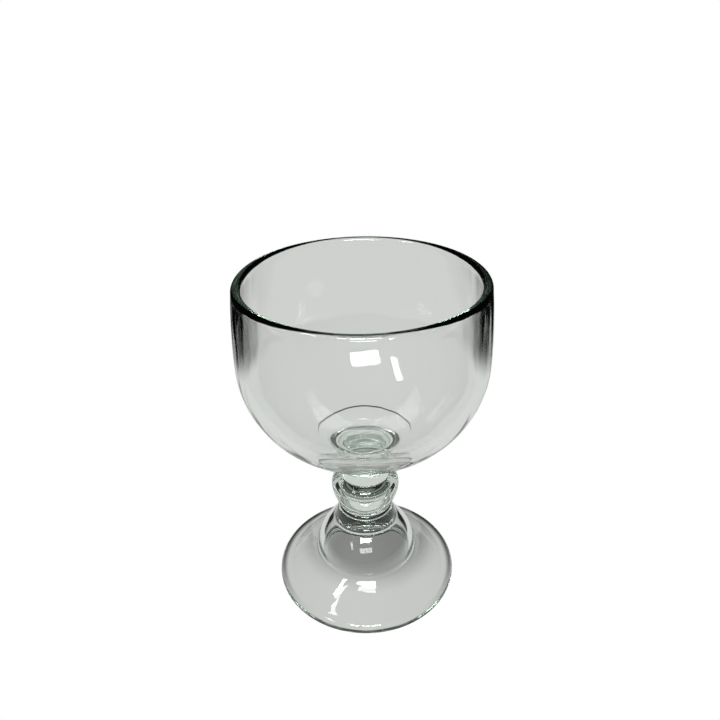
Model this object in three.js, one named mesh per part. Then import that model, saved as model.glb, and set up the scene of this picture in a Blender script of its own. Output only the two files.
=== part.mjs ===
import * as THREE from 'three';

// Footed cocktail glass in heavy clear pressed glass: a deep round bowl on a round knop and a bell-shaped foot.
// Millimetres, +Z up. The origin is on the axis, in the plane that the foot stands on.
// Each piece is a section turned about the axis, with flat ends where it is fused to its neighbour.

// Bowl
const rimRadius = 55.15;
const rimThickness = 4.3;
const bowlRadius = 57.1;
const upperWallHeight = 36;
const lowerWallDepth = 52.6;
const wallThickness = 4.8;
const floorThickness = 5;

// Shallow round recess in the floor, with a rounded step at its edge
const recessRadius = 22.7;
const recessDepth = 0.7;
const recessEdge = 1.2;

// Pad under the bowl, which narrows to the upper neck
const padRadius = 22.5;
const padRise = 19;
const padFullness = 0.6;
const upperNeckRadius = 12;

// Knop, a ball with a flattened top, which stands out beyond the lower neck
const lowerNeckRadius = 12.7;
const knopBulge = 4.05;
const knopCrownHeight = 8.5;

// Neck and collar on top of the foot
const neckHeight = 1.8;
const neckWaist = 0.3;
const collarTopStep = 0.2;
const collarBottomStep = 0.9;
const collarHeight = 2;
const collarBulge = 0.8;
const collarLift = 2;

// Bell of the foot, a half ellipse over its hollow
const bellRadius = 26;
const bellHeight = 27;
const bellBase = 15;
const bellWall = 4.5;
const crownThickness = 8;
const shoulderAngle = 49;
const shoulderLead = 3.7;
const sweepDrop = 3.2;
const sweepSpread = 1.5;
const bellFootAngle = 7.5;

// Flare of the foot, from the bell to the rounded edge
const footRadius = 46;
const edgeRound = 3.2;
const flareStep = 1.3;
const flareLift = 1;
const flareSagAngle = 8;
const restingRingWidth = 2.5;
const hollowMouthSlope = 31;
const hollowMouthLead = 10.5;
const hollowWallDrop = 5;

// Fineness of the turned surfaces
const turnSegments = 48;
const curveSteps = 5;

const radians = THREE.MathUtils.degToRad;

// Heights of the seams, from the foot up
const bellTop = bellBase + bellHeight;
const collarBase = bellTop + collarLift;
const footHeight = collarBase + collarHeight + neckHeight;
const knopRadius = lowerNeckRadius + knopBulge;
const knopCentre = Math.sqrt(knopRadius ** 2 - lowerNeckRadius ** 2);
const knopTopAngle = Math.acos(upperNeckRadius / knopRadius);
const knopHeight = knopCentre + knopCrownHeight * Math.sin(knopTopAngle);

function clearGlass() {
  return new THREE.MeshStandardMaterial({ color: 0xdde4de, roughness: 0.04, metalness: 0 });
}

// Turns a section, with the radius along its x and the height along its y, into a solid about +Z
function turned(name, section, seamHeight) {
  const geometry = new THREE.LatheGeometry(section.getPoints(curveSteps), turnSegments);
  geometry.rotateX(Math.PI / 2);
  const mesh = new THREE.Mesh(geometry, clearGlass());
  mesh.name = name;
  mesh.position.z = seamHeight;
  return mesh;
}

function pointOnEllipse(radius, height, centre, angle) {
  return new THREE.Vector2(radius * Math.cos(angle), centre + height * Math.sin(angle));
}

function directionAt(angle) {
  return new THREE.Vector2(Math.cos(angle), Math.sin(angle));
}

// Foot: hollow bell, flare with a rounded edge and a flat ring to stand on, collar and neck
function footSection() {
  const section = new THREE.Path();
  const hollowRadius = bellRadius - bellWall;
  const hollowHeight = bellHeight - crownThickness;
  const edgeCentre = new THREE.Vector2(footRadius - edgeRound, edgeRound);
  const hollowMouth = edgeCentre.x - restingRingWidth;

  // Hollow, from its crown down to the ring that stands on the table
  section.moveTo(0, bellBase + hollowHeight);
  section.absellipse(0, bellBase, hollowRadius, hollowHeight, Math.PI / 2, 0, true);
  const mouthLead = directionAt(Math.PI - radians(hollowMouthSlope)).multiplyScalar(hollowMouthLead);
  section.bezierCurveTo(
    hollowRadius, bellBase - hollowWallDrop,
    hollowMouth + mouthLead.x, mouthLead.y,
    hollowMouth, 0,
  );
  section.lineTo(edgeCentre.x, 0);

  // Rounded edge, up to where the flare leaves it
  const flareTop = new THREE.Vector2(bellRadius + flareStep, bellBase + flareLift);
  const edgeCrown = edgeCentre.clone().addScaledVector(directionAt(Math.PI / 4), edgeRound);
  const flareSlope = Math.atan2(flareTop.y - edgeCrown.y, edgeCrown.x - flareTop.x);
  const endSlope = flareSlope - radians(flareSagAngle);
  const topSlope = flareSlope + radians(flareSagAngle);
  section.absarc(edgeCentre.x, edgeCentre.y, edgeRound, -Math.PI / 2, Math.PI / 2 - endSlope, false);

  // Flare, slightly hollow, and the small fillet that turns it up into the bell
  const flareEnd = edgeCentre.clone().addScaledVector(directionAt(Math.PI / 2 - endSlope), edgeRound);
  const handle = flareTop.distanceTo(flareEnd) / 3;
  section.bezierCurveTo(
    flareEnd.x - handle * Math.cos(endSlope), flareEnd.y + handle * Math.sin(endSlope),
    flareTop.x + handle * Math.cos(topSlope), flareTop.y - handle * Math.sin(topSlope),
    flareTop.x, flareTop.y,
  );
  const bellFoot = pointOnEllipse(bellRadius, bellHeight, bellBase, radians(bellFootAngle));
  section.quadraticCurveTo(bellRadius, flareTop.y + flareStep * Math.tan(topSlope), bellFoot.x, bellFoot.y);

  // Bell up to its shoulder, then a sweep up to the collar
  const shoulder = radians(shoulderAngle);
  section.absellipse(0, bellBase, bellRadius, bellHeight, radians(bellFootAngle), shoulder, false);
  const shoulderPoint = pointOnEllipse(bellRadius, bellHeight, bellBase, shoulder);
  const along = new THREE.Vector2(-bellRadius * Math.sin(shoulder), bellHeight * Math.cos(shoulder));
  const shoulderHandle = shoulderPoint.clone().addScaledVector(along.normalize(), shoulderLead);
  const collarBottom = lowerNeckRadius + collarBottomStep;
  section.bezierCurveTo(
    shoulderHandle.x, shoulderHandle.y,
    collarBottom + sweepSpread, collarBase - sweepDrop,
    collarBottom, collarBase,
  );

  // Collar and the short waisted neck above it
  const collarTop = lowerNeckRadius + collarTopStep;
  const collarMiddle = (collarTop + collarBottom) / 2 + collarBulge;
  const collarTopHeight = collarBase + collarHeight;
  section.quadraticCurveTo(collarMiddle, collarBase + collarHeight / 2, collarTop, collarTopHeight);
  section.quadraticCurveTo(
    lowerNeckRadius - neckWaist, collarTopHeight + neckHeight / 2,
    lowerNeckRadius, footHeight,
  );
  section.lineTo(0, footHeight);
  return section;
}

// Knop: round below, flattened above, and cut flat where it meets the neck of the foot and the neck of the bowl
function knopSection() {
  const section = new THREE.Path();
  section.moveTo(0, 0);
  section.lineTo(lowerNeckRadius, 0);
  const startAngle = -Math.acos(lowerNeckRadius / knopRadius);
  section.absarc(0, knopCentre, knopRadius, startAngle, 0, false);
  section.absellipse(0, knopCentre, knopRadius, knopCrownHeight, 0, knopTopAngle, false);
  section.lineTo(0, knopHeight);
  return section;
}

// Bowl: solid pad, round lower wall, nearly upright upper wall, a rounded rim and a recessed floor
function bowlSection() {
  const section = new THREE.Path();
  const padAngle = Math.asin(padRadius / bowlRadius);
  const widestHeight = padRise + lowerWallDepth * Math.cos(padAngle);
  const lipRadius = rimThickness / 2;
  const lipHeight = widestHeight + upperWallHeight - lipRadius;
  const upperMiddle = (widestHeight + lipHeight) / 2;
  const innerRadius = bowlRadius - wallThickness;
  const innerDepth = lowerWallDepth - floorThickness;

  // Pad, from the neck out to the round underside of the bowl
  section.moveTo(0, 0);
  section.lineTo(upperNeckRadius, 0);
  const padSlope = Math.atan((lowerWallDepth / bowlRadius) * Math.tan(padAngle));
  const padReach = padFullness * (padRadius - upperNeckRadius);
  section.bezierCurveTo(
    upperNeckRadius, padFullness * padRise,
    padRadius - padReach * Math.cos(padSlope), padRise - padReach * Math.sin(padSlope),
    padRadius, padRise,
  );

  // Outside of the bowl, the rim, and down the inside to the edge of the recess
  section.absellipse(0, widestHeight, bowlRadius, lowerWallDepth, padAngle - Math.PI / 2, 0, false);
  section.quadraticCurveTo(bowlRadius, upperMiddle, rimRadius, lipHeight);
  section.absarc(rimRadius - lipRadius, lipHeight, lipRadius, 0, Math.PI, false);
  section.quadraticCurveTo(innerRadius, upperMiddle, innerRadius, widestHeight);
  const outerAngle = -Math.acos((recessRadius + recessEdge / 2) / innerRadius);
  section.absellipse(0, widestHeight, innerRadius, innerDepth, 0, outerAngle, true);

  // Rounded step, and the floor of the recess to its middle
  const recessCentre = widestHeight - recessDepth;
  const innerAngle = -Math.acos((recessRadius - recessEdge / 2) / innerRadius);
  const stepTop = pointOnEllipse(innerRadius, innerDepth, widestHeight, outerAngle);
  const stepFoot = pointOnEllipse(innerRadius, innerDepth, recessCentre, innerAngle);
  section.bezierCurveTo(recessRadius, stepTop.y, recessRadius, stepFoot.y, stepFoot.x, stepFoot.y);
  section.absellipse(0, recessCentre, innerRadius, innerDepth, innerAngle, -Math.PI / 2, true);
  return section;
}

const cocktailGlass = new THREE.Group();
cocktailGlass.add(turned('foot', footSection(), 0));
cocktailGlass.add(turned('stem_knop', knopSection(), footHeight));
cocktailGlass.add(turned('bowl', bowlSection(), footHeight + knopHeight));

export default cocktailGlass;
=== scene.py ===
import math

import bpy
from mathutils import Matrix, Vector


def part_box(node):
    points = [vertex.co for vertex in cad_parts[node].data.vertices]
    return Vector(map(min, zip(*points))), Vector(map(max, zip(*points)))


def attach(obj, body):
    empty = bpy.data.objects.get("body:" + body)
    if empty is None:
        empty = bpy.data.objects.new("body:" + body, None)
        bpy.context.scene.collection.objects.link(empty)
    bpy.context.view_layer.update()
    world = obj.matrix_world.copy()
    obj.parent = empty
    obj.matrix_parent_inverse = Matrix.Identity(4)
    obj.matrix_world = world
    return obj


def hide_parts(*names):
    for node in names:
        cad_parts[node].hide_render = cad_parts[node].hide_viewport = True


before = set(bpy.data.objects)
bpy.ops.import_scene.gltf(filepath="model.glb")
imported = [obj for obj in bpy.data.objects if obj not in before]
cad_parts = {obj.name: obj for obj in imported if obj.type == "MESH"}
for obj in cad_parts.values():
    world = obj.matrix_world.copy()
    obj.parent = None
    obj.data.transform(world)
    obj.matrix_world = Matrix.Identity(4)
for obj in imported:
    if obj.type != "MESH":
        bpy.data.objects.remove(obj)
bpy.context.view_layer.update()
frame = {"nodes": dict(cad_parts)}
mm = 0.001
print("frame loaded:", ", ".join(frame["nodes"]))


# outlines: lists of Bezier points in the plane through the axis, x is the radius and y the height, in mm
longestArc = 45             # degrees that one Bezier stretch may turn


def startAt(x, y):
    return [{"at": Vector((x, y)), "before": None, "after": None}]


def lineTo(outline, x, y):
    outline.append({"at": Vector((x, y)), "before": None, "after": None})


def curveTo(outline, firstHandle, lastHandle, end):
    outline[-1]["after"] = Vector(firstHandle)
    outline.append({"at": Vector(end), "before": Vector(lastHandle), "after": None})


def bendTo(outline, corner, end):  # one control point, as where two tangents meet
    start = outline[-1]["at"]
    corner = Vector(corner)
    end = Vector(end)
    curveTo(outline, start.lerp(corner, 2 / 3), end.lerp(corner, 2 / 3), end)


def onEllipse(centre, radii, angle):  # angle in radians
    return Vector((centre[0] + radii[0] * math.cos(angle), centre[1] + radii[1] * math.sin(angle)))


def arcTo(outline, centre, radii, startAngle, endAngle):  # angles in degrees
    pieces = math.ceil(abs(endAngle - startAngle) / longestArc)
    step = math.radians(endAngle - startAngle) / pieces
    reach = 4 / 3 * math.tan(step / 4)
    for i in range(pieces):
        a = math.radians(startAngle) + i * step
        b = a + step
        slopeA = Vector((-radii[0] * math.sin(a), radii[1] * math.cos(a)))
        slopeB = Vector((-radii[0] * math.sin(b), radii[1] * math.cos(b)))
        end = onEllipse(centre, radii, b)
        curveTo(outline, onEllipse(centre, radii, a) + slopeA * reach, end - slopeB * reach, end)


turning = {
    "steps": 180,           # faces round the axis
    "curveSteps": 14,       # points along each Bezier stretch
    "mergeWithin": 0.0005,  # mm, closes the turn and the poles
    "sharpAngle": 40,       # degrees, edges sharper than this stay crisp
    "seamGap": 0.02,        # mm of clear space between pieces that are fused on the real glass
    "seamWithin": 0.005,    # mm, how near a face is to the seam's height to belong to it
    "seamFlatness": 0.99,   # least upright part of such a face's normal
}


def turnOutline(name, outline, seamHeights):
    def place(point):
        return Vector((point.x * mm, 0, point.y * mm))

    bpy.ops.object.select_all(action="DESELECT")
    bpy.ops.curve.primitive_bezier_curve_add()
    piece = bpy.context.object
    piece.name = name
    piece.data.resolution_u = turning["curveSteps"]
    spline = piece.data.splines[0]
    spline.bezier_points.add(len(outline) - len(spline.bezier_points))
    for point, spot in zip(spline.bezier_points, outline):
        point.handle_left_type = "FREE" if spot["before"] else "VECTOR"
        point.handle_right_type = "FREE" if spot["after"] else "VECTOR"
        point.co = place(spot["at"])
        point.handle_left = place(spot["before"] or spot["at"])
        point.handle_right = place(spot["after"] or spot["at"])
    bpy.ops.object.convert(target="MESH")
    bpy.ops.object.mode_set(mode="EDIT")
    bpy.ops.mesh.select_all(action="SELECT")
    bpy.ops.mesh.spin(steps=turning["steps"], angle=2 * math.pi, center=(0, 0, 0), axis=(0, 0, 1))
    bpy.ops.mesh.select_all(action="SELECT")
    bpy.ops.mesh.remove_doubles(threshold=turning["mergeWithin"] * mm)
    bpy.ops.mesh.normals_make_consistent(inside=False)
    bpy.ops.object.mode_set(mode="OBJECT")
    bpy.ops.object.shade_smooth_by_angle(angle=math.radians(turning["sharpAngle"]))
    markSeams(piece, seamHeights)
    return piece


def markSeams(piece, seamHeights):  # 1 on the flat faces where the real glass is fused, 0 elsewhere
    seam = piece.data.attributes.new("seam", "FLOAT", "FACE")
    for face in piece.data.polygons:
        flat = abs(face.normal.z) > turning["seamFlatness"]
        atSeam = any(abs(face.center.z / mm - h) < turning["seamWithin"] for h in seamHeights)
        seam.data[face.index].value = 1.0 if flat and atSeam else 0.0


glass = {
    "ior": 1.52,
    "tint": (0.76, 0.86, 0.80),
    "tintDensity": 16.0,    # per metre
    "rippleScale": (90, 90, 18),    # waves in a metre, drawn out upwards
    "rippleDetail": 1.5,
    "rippleStrength": 0.16,
    "rippleDepth": 0.001,
}


def clearGlass():
    mat = bpy.data.materials.new("clearGlass")
    mat.use_nodes = True
    nodes = mat.node_tree.nodes
    links = mat.node_tree.links
    surface = nodes["Principled BSDF"]
    surface.inputs["Base Color"].default_value = (1, 1, 1, 1)
    surface.inputs["Roughness"].default_value = 0.0
    surface.inputs["Transmission Weight"].default_value = 1.0
    surface.inputs["IOR"].default_value = glass["ior"]
    seam = nodes.new("ShaderNodeAttribute")
    seam.attribute_name = "seam"
    bend = nodes.new("ShaderNodeMapRange")  # light isn't bent or mirrored at a fused seam
    bend.inputs["To Min"].default_value = glass["ior"]
    bend.inputs["To Max"].default_value = 1.0
    links.new(seam.outputs["Fac"], bend.inputs["Value"])
    links.new(bend.outputs["Result"], surface.inputs["IOR"])
    # slight ripple of pressed glass
    where = nodes.new("ShaderNodeTexCoord")
    stretch = nodes.new("ShaderNodeVectorMath")
    stretch.operation = "MULTIPLY"
    stretch.inputs[1].default_value = glass["rippleScale"]
    ripple = nodes.new("ShaderNodeTexNoise")
    ripple.inputs["Scale"].default_value = 1.0
    ripple.inputs["Detail"].default_value = glass["rippleDetail"]
    bump = nodes.new("ShaderNodeBump")
    bump.inputs["Strength"].default_value = glass["rippleStrength"]
    bump.inputs["Distance"].default_value = glass["rippleDepth"]
    links.new(where.outputs["Object"], stretch.inputs[0])
    links.new(stretch.outputs["Vector"], ripple.inputs["Vector"])
    links.new(ripple.outputs["Fac"], bump.inputs["Height"])
    links.new(bump.outputs["Normal"], surface.inputs["Normal"])
    inside = nodes.new("ShaderNodeVolumeAbsorption")
    inside.inputs["Color"].default_value = (*glass["tint"], 1)
    inside.inputs["Density"].default_value = glass["tintDensity"]
    links.new(inside.outputs["Volume"], nodes["Material Output"].inputs["Volume"])
    return mat


glassMaterial = clearGlass()


def finishPiece(piece, node):
    piece.data.materials.clear()
    piece.data.materials.append(glassMaterial)
    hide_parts(node)
    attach(piece, "root")
    print(piece.name, "has", len(piece.data.polygons), "faces")


# seams between the pieces, and the radii that the frame gives
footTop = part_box("foot")[1][2] / mm
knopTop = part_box("stem_knop")[1][2] / mm
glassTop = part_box("bowl")[1][2] / mm
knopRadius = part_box("stem_knop")[1][0] / mm
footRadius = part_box("foot")[1][0] / mm
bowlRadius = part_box("bowl")[1][0] / mm
halfGap = turning["seamGap"] / 2

# foot
foot = {
    "neckRadius": 12.7,
    "neckHeight": 1.8,
    "neckWaist": 0.3,
    "collarTop": 12.9,      # radii of the collar's two creases
    "collarBottom": 13.6,
    "collarHeight": 2.0,
    "collarBulge": 0.8,
    "bell": (26.0, 27.0),   # half width and height of its ellipse
    "bellBase": 15.0,
    "shoulderAngle": 49,
    "shoulderLead": 3.7,
    "sweep": (1.5, 3.2),
    "bellFootAngle": 7.5,
    "flareTop": (27.3, 16.0),
    "flareSag": 8,
    "edgeRound": 3.2,
    "restingRing": 2.5,
    "hollow": (21.5, 19.0),
    "hollowDrop": 5.0,
    "mouthSlope": 31,
    "mouthLead": 10.5,
}


def makeFoot():
    p = foot
    base = p["bellBase"]
    edge = Vector((footRadius - p["edgeRound"], p["edgeRound"]))
    mouth = edge.x - p["restingRing"]
    outline = startAt(0, base + p["hollow"][1])
    arcTo(outline, (0, base), p["hollow"], 90, 0)
    lead = p["mouthLead"]
    slope = math.radians(p["mouthSlope"])
    mouthHandle = (mouth - lead * math.cos(slope), lead * math.sin(slope))
    curveTo(outline, (p["hollow"][0], base - p["hollowDrop"]), mouthHandle, (mouth, 0))
    lineTo(outline, edge.x, 0)
    # rounded edge, flare and the fillet that turns it up into the bell
    top = Vector(p["flareTop"])
    crown = edge + Vector((1, 1)).normalized() * p["edgeRound"]
    chord = math.atan2(top.y - crown.y, crown.x - top.x)
    endSlope = chord - math.radians(p["flareSag"])
    topSlope = chord + math.radians(p["flareSag"])
    arcTo(outline, edge, (p["edgeRound"], p["edgeRound"]), -90, 90 - math.degrees(endSlope))
    flareEnd = outline[-1]["at"]
    reach = (flareEnd - top).length / 3
    along = Vector((-math.cos(endSlope), math.sin(endSlope))) * reach
    back = Vector((math.cos(topSlope), -math.sin(topSlope))) * reach
    curveTo(outline, flareEnd + along, top + back, top)
    fillet = (p["bell"][0], top.y + (top.x - p["bell"][0]) * math.tan(topSlope))
    bellFoot = onEllipse((0, base), p["bell"], math.radians(p["bellFootAngle"]))
    bendTo(outline, fillet, bellFoot)
    # bell, sweep, collar and neck
    arcTo(outline, (0, base), p["bell"], p["bellFootAngle"], p["shoulderAngle"])
    shoulder = math.radians(p["shoulderAngle"])
    rise = Vector((-p["bell"][0] * math.sin(shoulder), p["bell"][1] * math.cos(shoulder))).normalized()
    collarTop = footTop - p["neckHeight"]
    collarBase = collarTop - p["collarHeight"]
    sweepHandle = (p["collarBottom"] + p["sweep"][0], collarBase - p["sweep"][1])
    shoulderHandle = outline[-1]["at"] + rise * p["shoulderLead"]
    curveTo(outline, shoulderHandle, sweepHandle, (p["collarBottom"], collarBase))
    bulge = ((p["collarTop"] + p["collarBottom"]) / 2 + p["collarBulge"], (collarTop + collarBase) / 2)
    bendTo(outline, bulge, (p["collarTop"], collarTop))
    seam = footTop - halfGap
    bendTo(outline, (p["neckRadius"] - p["neckWaist"], (collarTop + footTop) / 2), (p["neckRadius"], seam))
    lineTo(outline, 0, seam)
    return turnOutline("glassFoot", outline, [seam])


finishPiece(makeFoot(), "foot")

# knop
knop = {
    "lowerNeck": 12.7,
    "upperNeck": 12.0,
    "crown": 8.5,           # height of the flattened upper half, if it went on to the axis
}


def makeKnop():
    p = knop
    centre = footTop + math.sqrt(knopRadius ** 2 - p["lowerNeck"] ** 2)
    lower = footTop + halfGap
    upper = knopTop - halfGap
    ball = (knopRadius, knopRadius)
    flattened = (knopRadius, p["crown"])
    startAngle = math.degrees(math.asin((lower - centre) / knopRadius))
    endAngle = math.degrees(math.asin((upper - centre) / p["crown"]))
    outline = startAt(0, lower)
    lineTo(outline, *onEllipse((0, centre), ball, math.radians(startAngle)))
    arcTo(outline, (0, centre), ball, startAngle, 0)
    arcTo(outline, (0, centre), flattened, 0, endAngle)
    lineTo(outline, 0, upper)
    return turnOutline("glassKnop", outline, [lower, upper])


finishPiece(makeKnop(), "stem_knop")

# bowl
bowl = {
    "neckRadius": 12.0,
    "padRadius": 22.5,
    "padRise": 19.0,
    "padFullness": 0.6,
    "wall": 4.8,
    "floor": 5.0,
    "recess": 22.7,         # radius of the shallow recess in the floor
    "recessDepth": 0.7,
    "recessEdge": 0.4,      # width of its step, narrower than the solid's so that it shows as a thin line
    "depth": 52.6,          # widest level down to the virtual bottom of the outer ellipse
    "rimRadius": 55.15,
    "rimThickness": 4.3,
}


def makeBowl():
    p = bowl
    padAngle = math.asin(p["padRadius"] / bowlRadius)
    padTop = knopTop + p["padRise"]
    widest = padTop + p["depth"] * math.cos(padAngle)
    lip = p["rimThickness"] / 2
    lipHeight = glassTop - lip
    inner = bowlRadius - p["wall"]
    seam = knopTop + halfGap
    outline = startAt(0, seam)
    lineTo(outline, p["neckRadius"], seam)
    slope = math.atan(p["depth"] / bowlRadius * math.tan(padAngle))
    reach = p["padFullness"] * (p["padRadius"] - p["neckRadius"])
    padHandle = (p["padRadius"] - reach * math.cos(slope), padTop - reach * math.sin(slope))
    neckHandle = (p["neckRadius"], knopTop + p["padFullness"] * p["padRise"])
    curveTo(outline, neckHandle, padHandle, (p["padRadius"], padTop))
    arcTo(outline, (0, widest), (bowlRadius, p["depth"]), math.degrees(padAngle) - 90, 0)
    bendTo(outline, (bowlRadius, (widest + lipHeight) / 2), (p["rimRadius"], lipHeight))
    arcTo(outline, (p["rimRadius"] - lip, lipHeight), (lip, lip), 0, 180)
    bendTo(outline, (inner, (widest + lipHeight) / 2), (inner, widest))
    # down the inside to the step, and the floor of the recess
    hollow = (inner, p["depth"] - p["floor"])
    stepTop = -math.degrees(math.acos((p["recess"] + p["recessEdge"] / 2) / inner))
    stepFoot = -math.degrees(math.acos((p["recess"] - p["recessEdge"] / 2) / inner))
    arcTo(outline, (0, widest), hollow, 0, stepTop)
    stepEnd = onEllipse((0, widest - p["recessDepth"]), hollow, math.radians(stepFoot))
    curveTo(outline, (p["recess"], outline[-1]["at"].y), (p["recess"], stepEnd.y), stepEnd)
    arcTo(outline, (0, widest - p["recessDepth"]), hollow, stepFoot, -90)
    return turnOutline("glassBowl", outline, [seam])


finishPiece(makeBowl(), "bowl")

# pale sheet under the glass, in metres: white to the camera, grey through the glass, dark at its far
# corners. The grey holds painted shade of the foot and is painted lighter on the near side.
sheet = {
    "left": -0.50,
    "right": 0.50,
    "near": -0.60,
    "far": 0.62,
    "drop": 0.0002,                 # just under the foot
    "paper": (0.75, 0.75, 0.74),    # for light that it throws back
    "tint": (0.985, 1.0, 0.97),     # of the grey
    # painted light: the grey is lighter on the near side, towards the lamps, and darker far off
    "nearTone": (-0.20, 0.74),      # place along Y and tone there
    "farTone": (0.35, 0.64),
    "lane": 0.17,                   # half width that stays pale all the way
    "corner": 0.38,                 # distance along X and Y together at which the rest has fallen off
    "soft": 0.04,                   # half width of the change to dark
    "darkTone": 0.008,
    # painted shade: the shares below darken the sheet's grey where the foot's shadow would fall
    "shade": 0.05,                  # share of the tone that is left in a ring under the edge of the foot
    "shadeInset": 0.0015,           # middle of the ring, in from the edge
    "shadeWidth": 0.004,            # from its middle to where it ends
    "underShade": 0.40,             # share that is left under the hollow of the foot
    "underCentre": (0.002, 0.018, 0.0),
    "underReach": (0.018, 0.040),   # distances at which that shade begins to fade and ends
    "roundShade": (0.045, 0.90),    # soft shade round the foot: distance and share, then where it ends
    "roundReach": (0.085, 1.0),
}


def emission(nodes, colour):
    light = nodes.new("ShaderNodeEmission")
    light.inputs["Color"].default_value = (*colour, 1)
    return light


def sheetTone(nodes, links):
    p = sheet

    def combine(operation, *values):  # values are numbers or the outputs of other nodes
        node = nodes.new("ShaderNodeMath")
        node.operation = operation
        for i, value in enumerate(values):
            if isinstance(value, bpy.types.NodeSocket):
                links.new(value, node.inputs[i])
            else:
                node.inputs[i].default_value = value
        return node.outputs["Value"]

    def ramp(value, start, end, smooth=True):  # start and end are pairs of a place and the tone there
        node = nodes.new("ShaderNodeMapRange")
        node.interpolation_type = "SMOOTHSTEP" if smooth else "LINEAR"
        node.inputs["From Min"].default_value, node.inputs["To Min"].default_value = start
        node.inputs["From Max"].default_value, node.inputs["To Max"].default_value = end
        links.new(value, node.inputs["Value"])
        return node.outputs["Result"]

    def distanceFrom(point):
        node = nodes.new("ShaderNodeVectorMath")
        node.operation = "DISTANCE"
        node.inputs[1].default_value = point
        links.new(where.outputs["Object"], node.inputs[0])
        return node.outputs["Value"]

    where = nodes.new("ShaderNodeTexCoord")
    split = nodes.new("ShaderNodeSeparateXYZ")
    links.new(where.outputs["Object"], split.inputs["Vector"])
    across = combine("ABSOLUTE", split.outputs["X"])
    away = combine("ADD", across, split.outputs["Y"])
    pastLane = combine("SUBTRACT", across, p["lane"])
    pastCorner = combine("SUBTRACT", away, p["corner"])
    outside = combine("MINIMUM", pastLane, pastCorner)
    # painted light: the grey grows lighter towards the near side
    pale = ramp(split.outputs["Y"], p["nearTone"], p["farTone"], smooth=False)
    falling = ramp(outside, (-p["soft"], 1.0), (p["soft"], p["darkTone"]))
    # painted shade of the foot, put into the sheet's grey: in a ring under its edge, under its hollow, and
    # softly all round it
    fromAxis = distanceFrom((0, 0, 0))
    fromRing = combine("ABSOLUTE", combine("SUBTRACT", fromAxis, footRadius * mm - p["shadeInset"]))
    ring = ramp(fromRing, (0, p["shade"]), (p["shadeWidth"], 1.0))
    fromMiddle = distanceFrom(p["underCentre"])
    under = ramp(fromMiddle, (p["underReach"][0], p["underShade"]), (p["underReach"][1], 1.0))
    allRound = ramp(fromAxis, p["roundShade"], p["roundReach"])
    shade = combine("MULTIPLY", combine("MULTIPLY", ring, under), allRound)
    return combine("MULTIPLY", combine("MULTIPLY", pale, falling), shade)


def makeSheet():
    p = sheet
    bpy.ops.object.select_all(action="DESELECT")
    middle = ((p["left"] + p["right"]) / 2, (p["near"] + p["far"]) / 2, -p["drop"])
    bpy.ops.mesh.primitive_plane_add(size=1, location=middle)
    floor = bpy.context.object
    floor.name = "sheet"
    floor.scale = (p["right"] - p["left"], p["far"] - p["near"], 1)
    bpy.ops.object.transform_apply(location=True, rotation=True, scale=True)
    mat = bpy.data.materials.new("paleSheet")
    mat.use_nodes = True
    nodes = mat.node_tree.nodes
    links = mat.node_tree.links
    nodes.remove(nodes["Principled BSDF"])
    paper = nodes.new("ShaderNodeBsdfDiffuse")
    paper.inputs["Color"].default_value = (*p["paper"], 1)
    path = nodes.new("ShaderNodeLightPath")
    seenThrough = nodes.new("ShaderNodeMixShader")
    seenDirect = nodes.new("ShaderNodeMixShader")
    either = nodes.new("ShaderNodeMath")
    either.operation = "MAXIMUM"
    grey = emission(nodes, p["tint"])
    links.new(sheetTone(nodes, links), grey.inputs["Strength"])
    links.new(path.outputs["Is Transmission Ray"], either.inputs[0])
    links.new(path.outputs["Is Glossy Ray"], either.inputs[1])
    links.new(either.outputs["Value"], seenThrough.inputs["Fac"])
    links.new(paper.outputs["BSDF"], seenThrough.inputs[1])
    links.new(grey.outputs["Emission"], seenThrough.inputs[2])
    links.new(path.outputs["Is Camera Ray"], seenDirect.inputs["Fac"])
    links.new(seenThrough.outputs["Shader"], seenDirect.inputs[1])
    links.new(emission(nodes, (1, 1, 1)).outputs["Emission"], seenDirect.inputs[2])
    links.new(seenDirect.outputs["Shader"], nodes["Material Output"].inputs["Surface"])
    floor.data.materials.append(mat)
    print("sheet laid")


makeSheet()

# room: white to the camera, a soft gradient to everything else
room = {
    "bright": (-0.30, -0.92, 0.25),     # towards the brightest part of the room
    "darkFrom": 0.2,                    # cosine of the angle from there at which it is darkest
    "darkTone": 0.012,
    "brightTone": 0.35,
}


def makeRoom():
    p = room
    world = bpy.data.worlds.new("room")
    bpy.context.scene.world = world
    world.use_nodes = True
    nodes = world.node_tree.nodes
    links = world.node_tree.links
    nodes.clear()
    out = nodes.new("ShaderNodeOutputWorld")
    where = nodes.new("ShaderNodeTexCoord")
    towards = nodes.new("ShaderNodeVectorMath")
    towards.operation = "DOT_PRODUCT"
    towards.inputs[1].default_value = Vector(p["bright"]).normalized()
    tone = nodes.new("ShaderNodeMapRange")
    tone.inputs["From Min"].default_value = p["darkFrom"]
    tone.inputs["To Min"].default_value = p["darkTone"]
    tone.inputs["To Max"].default_value = p["brightTone"]
    soft = nodes.new("ShaderNodeBackground")
    white = nodes.new("ShaderNodeBackground")
    path = nodes.new("ShaderNodeLightPath")
    mix = nodes.new("ShaderNodeMixShader")
    links.new(where.outputs["Generated"], towards.inputs[0])
    links.new(towards.outputs["Value"], tone.inputs["Value"])
    links.new(tone.outputs["Result"], soft.inputs["Color"])
    white.inputs["Color"].default_value = (1, 1, 1, 1)
    links.new(path.outputs["Is Camera Ray"], mix.inputs["Fac"])
    links.new(soft.outputs["Background"], mix.inputs[1])
    links.new(white.outputs["Background"], mix.inputs[2])
    links.new(mix.outputs["Shader"], out.inputs["Surface"])
    print("room set")


makeRoom()

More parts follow.
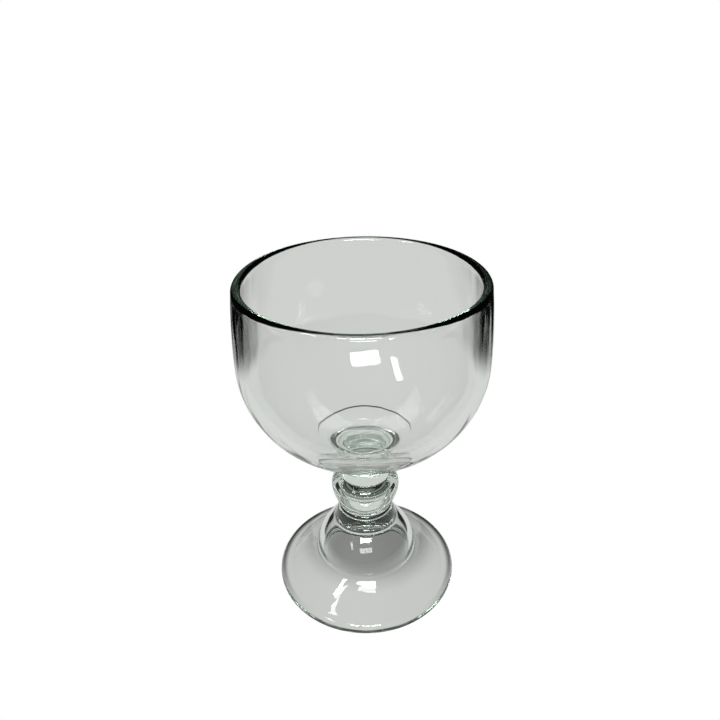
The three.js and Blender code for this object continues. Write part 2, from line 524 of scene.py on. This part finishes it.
# soft lamps: place and size in metres, turn in degrees, power in watts
lamps = {
    "keyLamp": {"at": (-0.03, -0.82, 1.00), "size": (0.60, 0.32), "turn": 8, "power": 13},
    "sideLamp": {"at": (-0.72, -0.52, 1.10), "size": (0.12, 0.54), "turn": 50, "power": 3.2},
}
aim = Vector((0, 0, 0.1))   # point that both lamps face


def makeLamps():
    for name, p in lamps.items():
        bpy.ops.object.select_all(action="DESELECT")
        facing = (aim - Vector(p["at"])).to_track_quat("-Z", "Y").to_matrix()
        turned = facing @ Matrix.Rotation(math.radians(p["turn"]), 3, "Z")
        bpy.ops.object.light_add(type="AREA", location=p["at"], rotation=turned.to_euler())
        lamp = bpy.context.object
        lamp.name = name
        lamp.data.shape = "RECTANGLE"
        lamp.data.size, lamp.data.size_y = p["size"]
        lamp.data.energy = p["power"]
        lamp.visible_camera = False
        print(name, "lit")


makeLamps()

# camera: in front of the glass and above it, looking down
camera = {
    "at": (-0.00136, -0.2616, 0.2745),
    "pitch": 29.25,         # degrees below level
    "roll": -1.17,
    "focalPixels": 663.5,   # focal length in pixels of the picture
    "imagePixels": 720,
    "sensor": 36,           # mm
    "nearest": 0.01,        # metres, nothing nearer is drawn
}


def makeCamera():
    p = camera
    bpy.ops.object.select_all(action="DESELECT")
    bpy.ops.object.camera_add()
    eye = bpy.context.object
    tilt = Matrix.Rotation(math.radians(90 - p["pitch"]), 4, "X")
    roll = Matrix.Rotation(math.radians(p["roll"]), 4, "Z")
    eye.matrix_world = Matrix.Translation(p["at"]) @ tilt @ roll
    eye.data.sensor_width = p["sensor"]
    eye.data.lens = p["focalPixels"] / p["imagePixels"] * p["sensor"]
    eye.data.clip_start = p["nearest"]
    bpy.context.scene.camera = eye
    print("camera placed")


makeCamera()

# bounces of light, many for glass that is seen through glass
bounces = {"through": 40, "mirrored": 16, "scattered": 4}

scene = bpy.context.scene
scene.view_settings.view_transform = "Standard"
scene.cycles.max_bounces = bounces["through"]
scene.cycles.transmission_bounces = bounces["through"]
scene.cycles.glossy_bounces = bounces["mirrored"]
scene.cycles.transparent_max_bounces = bounces["mirrored"]
scene.cycles.diffuse_bounces = bounces["scattered"]
print("light paths set")
